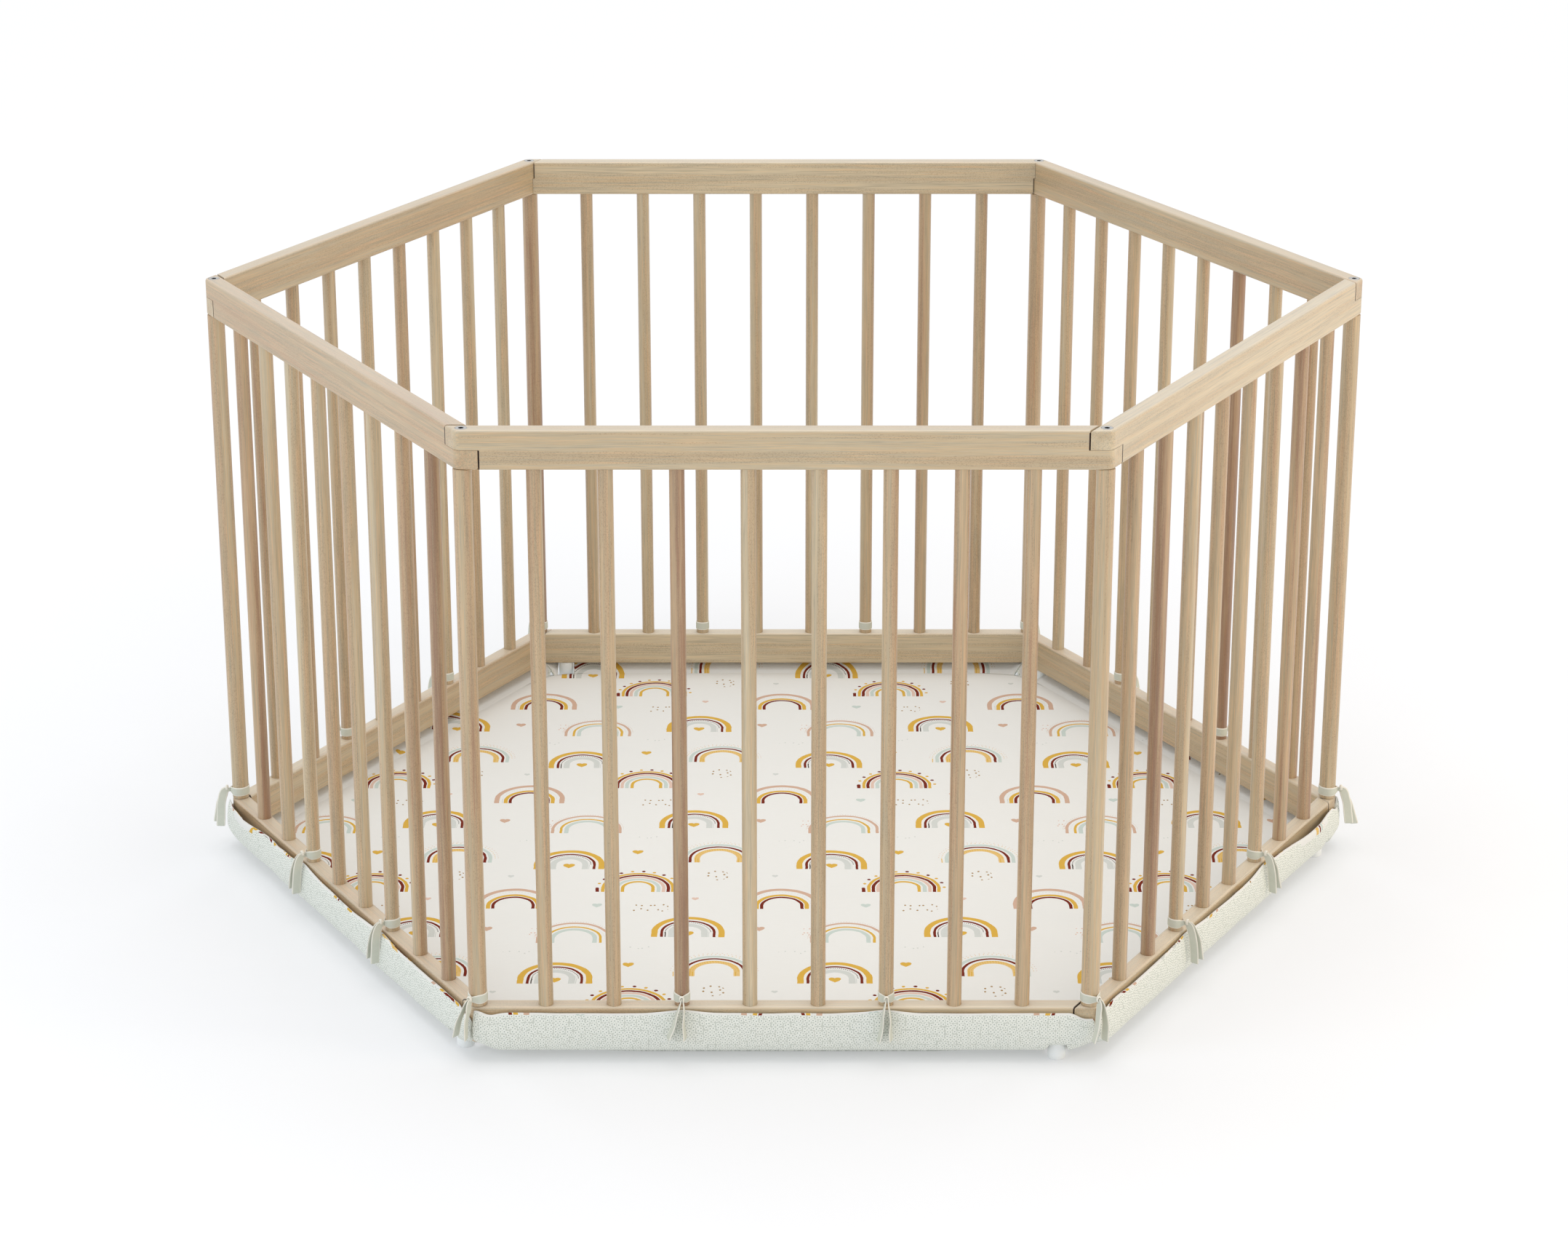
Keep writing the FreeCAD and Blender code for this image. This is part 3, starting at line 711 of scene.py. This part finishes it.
def border_point(side, x, index):
    """One point of the section at x along the front side, as (x, distance out, height)."""
    out, height = BORDER_SECTION[index]
    out *= MM
    height *= MM
    seed = SIDES.index(side) * 11.3
    to_end = BORDER_HALF - abs(x)
    upper = ease((height - 22 * MM) / (30 * MM))
    outer = ease((out - 1.5 * MM) / (4 * MM)) if index in OUTSIDE else 0.0
    lower = 1 - ease((height - 12 * MM) / (16 * MM))

    hem = sum(TIE_RISE * hump(x - tie, 26 * MM) for tie in TIE_PLACES)
    if x < 0:
        hem += START_RISE * (1 - ease((to_end - 8 * MM) / (9 * MM)))
        hem -= START_DIP * hump(to_end - 23 * MM, 8 * MM)
        hem += START_SWELL * hump(to_end - 46 * MM, 14 * MM)
    else:
        hem -= FINISH_DROP * (1 - ease((to_end - 14 * MM) / (16 * MM)))
    hem += HEM_WAVE * noise.noise(Vector((x * 34, seed, 0)))
    height += hem * upper

    puff = PUFF * noise.noise(Vector((x * 21, height * 16, seed)))
    puff += FINE_PUFF * noise.noise(Vector((x * 70, height * 40, seed + 4)))
    pinch = sum(TIE_PINCH * hump(x - tie, 9 * MM) for tie in TIE_PLACES)
    out += (puff - pinch * upper) * outer
    out -= CORNER_PINCH * outer * hump(to_end, 7 * MM)

    lift = CORNER_LIFT * (1 - ease(to_end / (32 * MM)))
    if index in UNDER_RAIL:
        height += lift
    else:
        out += lean_at(side, x) * ease((height - RAIL_UNDERSIDE) / (30 * MM))
        height += lift * lower
    height += LOWER_WAVE * noise.noise(Vector((x * 15, seed, 9))) * lower * outer
    if index in UNDER_RAIL:
        height = min(height, RAIL_UNDERSIDE - (0.5 if index > INNER_EDGE else 2.5) * MM)

    if abs(x - FOOT_X) < FOOT_NOTCH - NOTCH_SLOPE / 2:
        height = max(height, RAIL_UNDERSIDE + 0.6 * MM)
        out = max(out, 1.0 * MM)

    reach = (RAIL_OUTER + out) * TAN_30 - 0.4 * MM
    if abs(x) > STRAIGHT_LENGTH:
        part = (abs(x) - STRAIGHT_LENGTH) / (BORDER_HALF - STRAIGHT_LENGTH)
        x = math.copysign(STRAIGHT_LENGTH + part * (reach - STRAIGHT_LENGTH), x)
    return x, RAIL_OUTER + out, height


def border_pad(side, number, printed, outside):
    """Padded edge of the mat along one side: under the lower rail, then up its outer face."""
    stations = border_stations()
    points = len(BORDER_SECTION)
    shape = bmesh.new()
    bmesh.ops.create_grid(shape, x_segments=len(stations) - 1, y_segments=points, size=0.5)
    shape.verts.ensure_lookup_table()
    columns = len(stations)
    flat = {}
    turned = Matrix.Rotation(number * SIDE_TURN, 4, "Z")
    section_run = [0.0]
    for (out, height), (next_out, next_height) in zip(
            BORDER_SECTION, BORDER_SECTION[1:] + BORDER_SECTION[:1]):
        section_run.append(section_run[-1] + math.hypot(next_out - out, next_height - height) * MM)
    for vert in shape.verts:
        column, row = vert.index % columns, vert.index // columns
        x, out, height = border_point(side, stations[column], row % points)
        vert.co = (x, -out, height)
        fold = LOWER_FOLD if row <= LOWER_FOLD else UPPER_FOLD
        spread = RAIL_OUTER + section_run[row] - section_run[fold]
        flat[vert] = turned @ Vector((x, -spread, 0))
    for face in shape.faces:
        rows = [vert.index // columns for vert in face.verts]
        x = stations[min(vert.index % columns for vert in face.verts)]
        rolled = 2 if lean_at(side, x) > ROLLED_LEAN else 1
        face.material_index = 1 if rolled <= min(rows) and max(rows) <= INNER_EDGE else 0
    unfold(shape, lambda vert: flat[vert].xy)
    bmesh.ops.remove_doubles(shape, verts=shape.verts[:], dist=0.01 * MM)
    rims = [edge for edge in shape.edges if edge.is_boundary]
    bmesh.ops.holes_fill(shape, edges=rims, sides=0)
    for face in shape.faces:
        if len(face.verts) > 4:
            face.material_index = 1
    bmesh.ops.recalc_face_normals(shape, faces=shape.faces[:])
    piece = new_piece(f"{side}_border_pad", shape, [printed, outside], number * SIDE_TURN)
    soften(piece)
    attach(piece, "root")
    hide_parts(f"{side}_mat_border")


# ---- ties ----

TAPE_THICKNESS = 1.1 * MM
TAPE_COLUMNS = 4
LOOP_ROWS = 48
TAIL_ROWS = 18
TAIL_STEPS = 4
LOOP_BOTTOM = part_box("front_start_tie")[1].z - TAPE_WIDTH + 0.8 * MM
KNOT_HEIGHT = LOOP_BOTTOM + 6.6 * MM
LOOP_SLACK = 0.9 * MM
KNOT_TUBE = 0.85 * MM
KNOT_RADIUS = 2.3 * MM
KNOT_TAPE = 10 * MM
SPARE_TAPE = 12 * MM

# What a tie holds: its radius, then how far from its axis the knot and the loose ends lie, in mm.
ROUND_BAR = (7.5 * MM, 12.0, 21.5)
ROUND_POST = (9.25 * MM, 14.0, 22.5)


def add_strip(shape, uv, rows, spine, frame_of):
    """A strip of tape: spine(t) is its middle, frame_of(t) its half-width vector."""
    made = bmesh.ops.create_grid(shape, x_segments=rows, y_segments=TAPE_COLUMNS, size=0.5)
    verts = made["verts"]
    runs = [0.0]
    for row in range(rows):
        runs.append(runs[-1] + (spine((row + 1) / rows) - spine(row / rows)).length)
    place = {}
    for vert in verts:
        t = vert.co.x + 0.5
        side = vert.co.y * 2
        place[vert] = (side * TAPE_WIDTH / 2, runs[round(t * rows)])
        vert.co = spine(t) + frame_of(t) * side
    faces = {face for vert in verts for face in vert.link_faces}
    for face in faces:
        for loop in face.loops:
            loop[uv].uv = place[loop.vert]


def tail_strip(shape, uv, knot, clear, lean, twist, flare, length, hand):
    """One loose end: out of the knot with its width upright, then down with it standing out.

    knot and clear are how far out from the bar's axis the knot and the hanging end lie, in mm.
    """
    points = [Vector(point) * MM for point in (
        (hand * 0.3, -(knot - 2.0), -1.5),
        (hand * 0.8, -(knot + 2.2), -1.6),
        (hand * 1.4 + lean * 0.06, -(knot + 5.2), -4.2),
        (hand * 1.8 + lean * 0.2, -(clear - 1.4), -11.0))]
    for step in range(1, TAIL_STEPS + 1):
        part = step / TAIL_STEPS
        sway = lean * (0.2 + 0.8 * part) + 0.8 * math.sin(part * 5 + twist)
        points.append(Vector((hand * 1.8 * (1 - part) + sway, -(clear + flare * part),
                              -11.0 - (length - 12) * part)) * MM)

    def spine(t):
        return through(points, t) + Vector((0, 0, KNOT_HEIGHT))

    def frame_of(t):
        turn_down = ease(t / 0.36)
        upright = Vector((0, 0, 1)) * (1 - turn_down)
        swing = math.radians(twist) * ease((t - 0.15) / 0.85)
        outward = Vector((math.sin(swing), -math.cos(swing), 0)) * turn_down
        half = TAPE_WIDTH / 2 * (0.45 + 0.55 * ease(t / 0.32))
        return (upright + outward).normalized() * half

    add_strip(shape, uv, TAIL_ROWS, spine, frame_of)


def add_knot(shape, uv, knot):
    """A rounded ring where the tape is knotted."""
    before = set(shape.verts)
    ring = bmesh.ops.create_circle(shape, segments=8, radius=KNOT_TUBE)["verts"]
    upright = Matrix.Rotation(math.pi / 2, 3, "Y")
    bmesh.ops.rotate(shape, cent=(0, 0, 0), matrix=upright, verts=ring)
    bmesh.ops.scale(shape, vec=(1.0, 1.9, 1.0), verts=ring)
    bmesh.ops.translate(shape, vec=(0, 0, KNOT_RADIUS), verts=ring)
    rim = list({edge for vert in ring for edge in vert.link_edges})
    bmesh.ops.spin(shape, geom=ring + rim, cent=(0, 0, 0), axis=(0, 1, 0), angle=math.tau,
                   steps=14, use_merge=True)
    added = [vert for vert in shape.verts if vert not in before]
    bmesh.ops.remove_doubles(shape, verts=added, dist=0.01 * MM)
    added = [vert for vert in shape.verts if vert not in before]
    bmesh.ops.scale(shape, vec=(0.9, 1.0, 1.15), verts=added)
    bmesh.ops.translate(shape, vec=(0, -(knot + 1.6) * MM, KNOT_HEIGHT + 0.6 * MM), verts=added)
    for face in {face for vert in added for face in vert.link_faces}:
        for loop in face.loops:
            loop[uv].uv = (TAPE_WIDTH / 2, 0)


def tie(name, centre, turn, held_radius, knot, clear, left, right, node):
    """Tape round a bar or post, pulled to a small knot outside it, with two loose ends."""
    shape = bmesh.new()
    uv = shape.loops.layers.uv.new("cloth")

    def loop_spine(t):
        angle = (t - 0.5) * math.tau
        pull = hump(math.pi - abs(angle), 0.22)
        radius = held_radius + LOOP_SLACK + (knot * MM - held_radius - 2.4 * MM) * pull
        height = LOOP_BOTTOM + TAPE_WIDTH / 2 + 0.5 * MM * math.cos(angle) + 0.8 * MM * pull
        across = radius * math.sin(angle) * (1 - 0.5 * pull)
        return Vector((across, radius * math.cos(angle), height))

    def loop_frame(t):
        pull = hump(math.pi - abs((t - 0.5) * math.tau), 0.42)
        return Vector((0, 0, TAPE_WIDTH / 2 * (1 - 0.42 * pull)))

    add_strip(shape, uv, LOOP_ROWS, loop_spine, loop_frame)
    for hand, (lean, twist, flare, length) in ((-1, left), (1, right)):
        tail_strip(shape, uv, knot, clear, lean, twist, flare, length, hand)
    bmesh.ops.recalc_face_normals(shape, faces=shape.faces[:])
    bmesh.ops.solidify(shape, geom=shape.faces[:], thickness=TAPE_THICKNESS)
    add_knot(shape, uv, knot)
    bmesh.ops.recalc_face_normals(shape, faces=shape.faces[:])
    shape.transform(Matrix.Translation(centre))
    piece = new_piece(name, shape, [tape_cotton], turn)
    soften(piece)
    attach(piece, "root")
    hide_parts(node)
    loop_length = math.tau * held_radius + 2 * (knot * MM - held_radius)
    total = loop_length + KNOT_TAPE + (left[3] + right[3]) * MM + SPARE_TAPE


# ---- the playpen put together ----

def dress(node, *materials):
    """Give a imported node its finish."""
    mesh_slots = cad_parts[node].material_slots
    for slot, material in zip(mesh_slots, materials):
        slot.link = "OBJECT"
        slot.material = material


for number, side in enumerate(SIDES):
    turn = number * SIDE_TURN
    dress(f"{side}_bars", beech(f"{side}_bar_beech", turn, True, BAR_TONES[side], number))
    for level, seed in (("top", number + 7), ("bottom", number + 14)):
        node = f"{side}_{level}_rail"
        low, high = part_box(node)
        slot_top = high.z - RAIL_EDGE_RADIUS if level == "top" else high.z
        dress(node, beech(f"{node}_beech", turn, False, (RAIL_TONES[side],), seed,
                          (low.z + high.z) / 2, high.z, slot_top))
for number, corner in enumerate(CORNERS):
    turn = number * SIDE_TURN - CORNER_TURN
    dress(f"{corner}_post",
          beech(f"{corner}_post_beech", turn, True, (POST_TONES[corner],), number + 21))

nut_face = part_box("top_sleeve_nuts")[1].z
nut_zinc = zinc("nut_zinc_plate", (224, 225, 226), 0.3, socket_top=nut_face - 0.3 * MM)
rod_zinc = zinc("rod_zinc_plate", (186, 190, 196), 0.36)
foot_white = moulded_white()
dress("top_sleeve_nuts", nut_zinc)
for node in ("bottom_sleeve_nuts", "corner_rods", "foot_screws"):
    dress(node, rod_zinc)
for side in SIDES:
    dress(f"{side}_foot", foot_white)

print_cotton = printed_cotton()
border_cotton = daisy_cotton()
tape_cotton = twill_tape()
floor_pad(print_cotton, border_cotton)
for number, side in enumerate(SIDES):
    border_pad(side, number, print_cotton, border_cotton)

# Loose ends, left then right: lean sideways in mm, twist in degrees, lean outward and length
# in mm.
SIDE_TAILS = {
    "front": (((-14, 18, 0, 41), (2, -16, 1, 42)), ((-8, 18, 0, 45), (5, -18, 1, 43))),
    "right_front": (((-3, -8, 3, 45), (6, 6, 5, 43)), ((-2, -8, 3, 45), (6, 8, 5, 42))),
    "left_front": (((-7, 8, 3, 42), (2, -6, 2, 46)), ((-7, 8, 3, 42), (2, -6, 1, 46))),
}
PLAIN_TAILS = (((-6, 10, 2, 50), (4, -8, 3, 49)), ((-5, 8, 2, 49), (6, -10, 2, 50)))
CORNER_TAILS = {
    "front_left": ((-14, -10, 1, 42), (-1, 15, 1, 43)),
    "front_right": ((-11, -14, 1, 43), (3, 12, 2, 44)),
    "right": ((-2, 6, 4, 44), (3, 8, 11, 47)),
    "left": ((-3, -6, 6, 44), (2, -4, 2, 47)),
}
for number, side in enumerate(SIDES):
    tails = SIDE_TAILS.get(side, PLAIN_TAILS)
    for (place, bar), (left, right) in zip(TIED_BARS.items(), tails):
        node = f"{side}_{place}_tie"
        centre = Vector((BAR_STEP * bar - SIDE_LENGTH / 2, -RAIL_MIDDLE, 0))
        tie(f"{side}_{place}_tape", centre, number * SIDE_TURN, *ROUND_BAR, left, right, node)
for number, corner in enumerate(CORNERS):
    node = f"{corner}_corner_tie"
    left, right = CORNER_TAILS.get(corner, PLAIN_TAILS[0])
    tie(f"{corner}_corner_tape", Vector((0, -POST_RADIUS_OUT, 0)),
        number * SIDE_TURN - CORNER_TURN, *ROUND_POST, left, right, node)


# ---- studio ----

FLOOR_SIZE = 30
FLOOR_GREY = (0.6, 0.61, 0.63, 1)
# Painted light and shadow: the floor glows, less so near the playpen.
GLOW_START, GLOW_END = 0.62, 1.5
SHADOWED_GLOW_NEAR = 0.79
GLOW_STRENGTH = 0.335
SKY_STRENGTH = 0.74
SUN_PLACE = (0, 0.5, 4)
SUN_STRENGTH = 1.13
SUN_COLOUR = (1.0, 0.995, 0.985)
SUN_SPREAD = math.radians(55)
BOX_SIZE = 1.5
BOX_AIM = (0, 0, 0.3)
LENS = 89.9
EYE_PLACE = (0, -4.1214, 1.8067)
EYE_DIP = 20.5


def studio_floor():
    """Matt pale floor that glows a little, and more so away from the playpen: painted light, with
    a painted shadow round the playpen.
    """
    shape = bmesh.new()
    bmesh.ops.create_grid(shape, x_segments=1, y_segments=1, size=FLOOR_SIZE)
    ground = Finish("studio_white", Specular_IOR_Level=0.0, Roughness=1.0,
                    Base_Color=FLOOR_GREY, Emission_Strength=GLOW_STRENGTH)
    x, y, _ = ground.split(ground.place())
    distance = (x * x + y * y).math("SQRT")
    # Painted shadow: the glow falls off toward the playpen.
    glow = ground.node("ShaderNodeMapRange", None, distance, GLOW_START, GLOW_END,
                       SHADOWED_GLOW_NEAR, 1.0)
    ground.paint(Emission_Color=ground.join(glow, glow, glow))
    mesh = bpy.data.meshes.new("studio_floor")
    shape.to_mesh(mesh)
    shape.free()
    mesh.materials.append(ground.material)
    floor = bpy.data.objects.new("studio_floor", mesh)
    bpy.context.collection.objects.link(floor)


def add_light(kind, name, place, aim, power, colour):
    light = bpy.data.lights.new(name, kind)
    light.energy = power
    light.color = colour
    lamp = bpy.data.objects.new(name, light)
    lamp.location = place
    lamp.rotation_euler = (Vector(aim) - Vector(place)).to_track_quat("-Z", "Y").to_euler()
    bpy.context.collection.objects.link(lamp)
    return light


def studio():
    studio_floor()
    world = bpy.data.worlds.new("studio")
    world.use_nodes = True
    background = world.node_tree.nodes["Background"]
    background.inputs["Color"].default_value = WHITE
    background.inputs["Strength"].default_value = SKY_STRENGTH
    bpy.context.scene.world = world
    ceiling = add_light("SUN", "ceiling", SUN_PLACE, (0, 0, 0), SUN_STRENGTH, SUN_COLOUR)
    ceiling.angle = SUN_SPREAD
    for name, place, power, colour in (
            ("left_soft_box", (-2.6, -1.9, 1.5), 16, (0.78, 0.91, 1.0)),
            ("right_soft_box", (2.8, -1.0, 1.2), 21, (1.0, 0.77, 0.48))):
        box = add_light("AREA", name, place, BOX_AIM, power, colour)
        box.size = BOX_SIZE


def camera():
    view = bpy.data.cameras.new("camera")
    view.lens = LENS
    view.sensor_width = 36
    view.clip_end = 100
    eye = bpy.data.objects.new("camera", view)
    eye.location = EYE_PLACE
    eye.rotation_euler = (math.radians(90 - EYE_DIP), 0, 0)
    bpy.context.collection.objects.link(eye)
    bpy.context.scene.camera = eye
    bpy.context.scene.view_settings.view_transform = "Standard"


studio()
camera()
